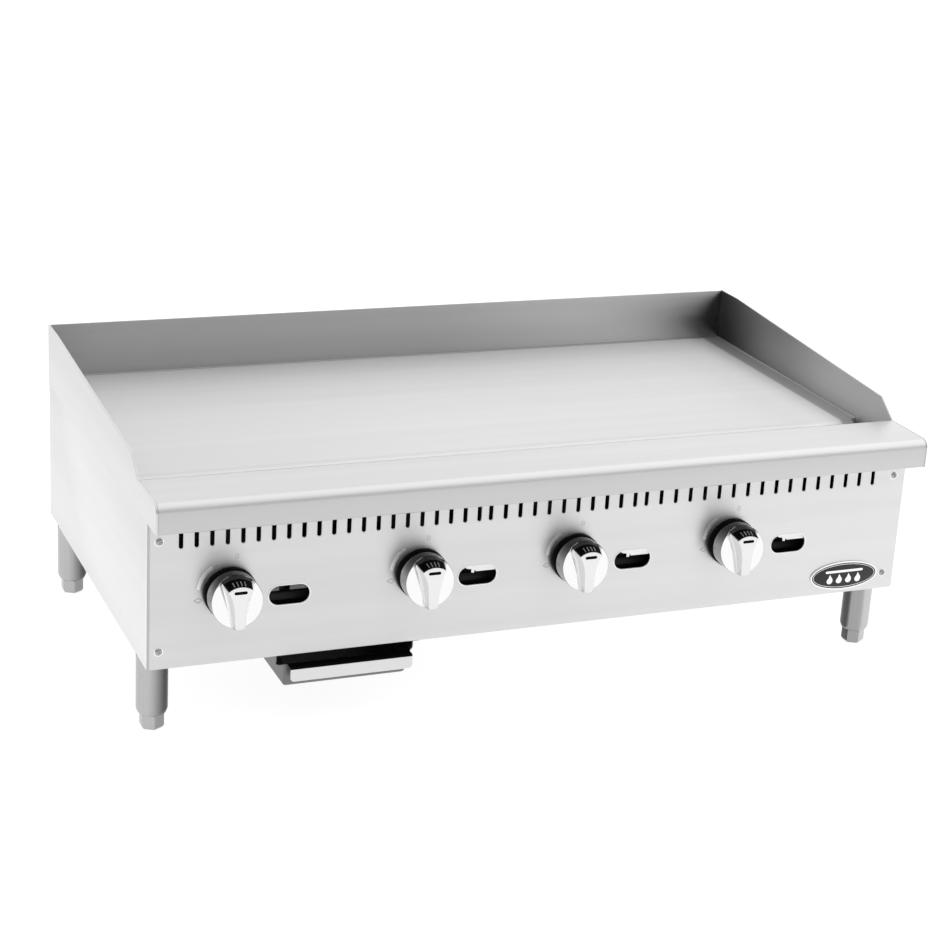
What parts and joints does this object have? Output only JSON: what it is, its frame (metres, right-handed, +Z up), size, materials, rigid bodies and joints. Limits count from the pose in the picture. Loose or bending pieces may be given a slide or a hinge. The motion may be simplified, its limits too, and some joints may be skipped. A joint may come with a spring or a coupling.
{
  "type": "flat top griddle",
  "caption": "Countertop gas griddle: thick flat steel plate in welded splashes, grease gutter and drawer, control panel with knobs, on adjustable legs.",
  "frame": {"origin": "centre of the whole griddle's footprint, on the counter under its feet", "axes": "+X to the operator's right, +Y from the control panel to the rear, +Z up"},
  "size_m": [1.219, 0.732, 0.437],
  "materials": {
    "cooking_plate": "ground and polished carbon steel plate",
    "splash_steel": "brushed stainless sheet",
    "body_steel": "brushed stainless sheet, satin",
    "galvanised_steel": "galvanised sheet and pipe, dull",
    "burner_iron": "dark heat-stained iron",
    "gas_brass": "machined brass",
    "knob_metal": "satin chrome plated die casting",
    "badge_enamel": "black enamel, glossy",
    "screw_steel": "plated screw head",
    "leg_steel": "satin steel tube"
  },
  "bodies": {
    "griddle_body": {"griddle_plate": "cooking_plate", "left_splash": "splash_steel", "right_splash": "splash_steel", "rear_splash": "splash_steel", "front_rail": "body_steel", "grease_gutter": "body_steel", "grease_chute": "galvanised_steel", "left_side_panel": "body_steel", "right_side_panel": "body_steel", "rear_panel": "galvanised_steel", "control_panel": "body_steel", "bottom_pan": "galvanised_steel", "front_heat_shield": "galvanised_steel", "burner_1": "burner_iron", "burner_2": "burner_iron", "burner_3": "burner_iron", "burner_4": "burner_iron", "burner_rest": "galvanised_steel", "gas_manifold": "galvanised_steel", "gas_valve_1": "gas_brass", "gas_valve_2": "gas_brass", "gas_valve_3": "gas_brass", "gas_valve_4": "gas_brass", "pilot_1": "gas_brass", "pilot_2": "gas_brass", "pilot_3": "gas_brass", "pilot_4": "gas_brass", "plate_support_left": "galvanised_steel", "plate_support_right": "galvanised_steel", "badge_plate": "badge_enamel", "panel_screw_1": "screw_steel", "panel_screw_2": "screw_steel", "panel_screw_3": "screw_steel", "panel_screw_4": "screw_steel", "drawer_runner_left": "galvanised_steel", "drawer_runner_right": "galvanised_steel", "leg_1": "leg_steel", "leg_2": "leg_steel", "leg_3": "leg_steel", "leg_4": "leg_steel"},
    "drawer": {"grease_drawer": "body_steel"},
    "control_1": {"knob_1": "knob_metal", "valve_stem_1": "gas_brass"},
    "control_2": {"knob_2": "knob_metal", "valve_stem_2": "gas_brass"},
    "control_3": {"knob_3": "knob_metal", "valve_stem_3": "gas_brass"},
    "control_4": {"knob_4": "knob_metal", "valve_stem_4": "gas_brass"},
    "shutter_1": {"air_shutter_1": "galvanised_steel"},
    "shutter_2": {"air_shutter_2": "galvanised_steel"},
    "shutter_3": {"air_shutter_3": "galvanised_steel"},
    "shutter_4": {"air_shutter_4": "galvanised_steel"},
    "adjustable_foot_1": {"foot_1": "leg_steel"},
    "adjustable_foot_2": {"foot_2": "leg_steel"},
    "adjustable_foot_3": {"foot_3": "leg_steel"},
    "adjustable_foot_4": {"foot_4": "leg_steel"}
  },
  "joints": [
    {"name": "drawer_slide", "type": "slide", "parent": "griddle_body", "child": "drawer", "axis": [0, -1, 0], "range_m": [0, 0.3]},
    {"name": "knob_1_turn", "type": "hinge", "parent": "griddle_body", "child": "control_1", "pos_m": [-0.491, -0.33, 0.223], "axis": [0, -1, 0], "range_deg": [0, 90]},
    {"name": "knob_2_turn", "type": "hinge", "parent": "griddle_body", "child": "control_2", "pos_m": [-0.205, -0.33, 0.223], "axis": [0, -1, 0], "range_deg": [0, 90]},
    {"name": "knob_3_turn", "type": "hinge", "parent": "griddle_body", "child": "control_3", "pos_m": [0.041, -0.33, 0.223], "axis": [0, -1, 0], "range_deg": [0, 90]},
    {"name": "knob_4_turn", "type": "hinge", "parent": "griddle_body", "child": "control_4", "pos_m": [0.304, -0.33, 0.223], "axis": [0, -1, 0], "range_deg": [0, 90]},
    {"name": "air_shutter_1_turn", "type": "hinge", "parent": "griddle_body", "child": "shutter_1", "pos_m": [-0.491, -0.216, 0.223], "axis": [0, -1, 0], "range_deg": [-45, 45]},
    {"name": "air_shutter_2_turn", "type": "hinge", "parent": "griddle_body", "child": "shutter_2", "pos_m": [-0.205, -0.216, 0.223], "axis": [0, -1, 0], "range_deg": [-45, 45]},
    {"name": "air_shutter_3_turn", "type": "hinge", "parent": "griddle_body", "child": "shutter_3", "pos_m": [0.041, -0.216, 0.223], "axis": [0, -1, 0], "range_deg": [-45, 45]},
    {"name": "air_shutter_4_turn", "type": "hinge", "parent": "griddle_body", "child": "shutter_4", "pos_m": [0.304, -0.216, 0.223], "axis": [0, -1, 0], "range_deg": [-45, 45]},
    {"name": "foot_1_height", "type": "slide", "parent": "griddle_body", "child": "adjustable_foot_1", "axis": [0, 0, -1], "range_m": [0, 0.025]},
    {"name": "foot_2_height", "type": "slide", "parent": "griddle_body", "child": "adjustable_foot_2", "axis": [0, 0, -1], "range_m": [0, 0.025]},
    {"name": "foot_3_height", "type": "slide", "parent": "griddle_body", "child": "adjustable_foot_3", "axis": [0, 0, -1], "range_m": [0, 0.025]},
    {"name": "foot_4_height", "type": "slide", "parent": "griddle_body", "child": "adjustable_foot_4", "axis": [0, 0, -1], "range_m": [0, 0.025]}
  ]
}
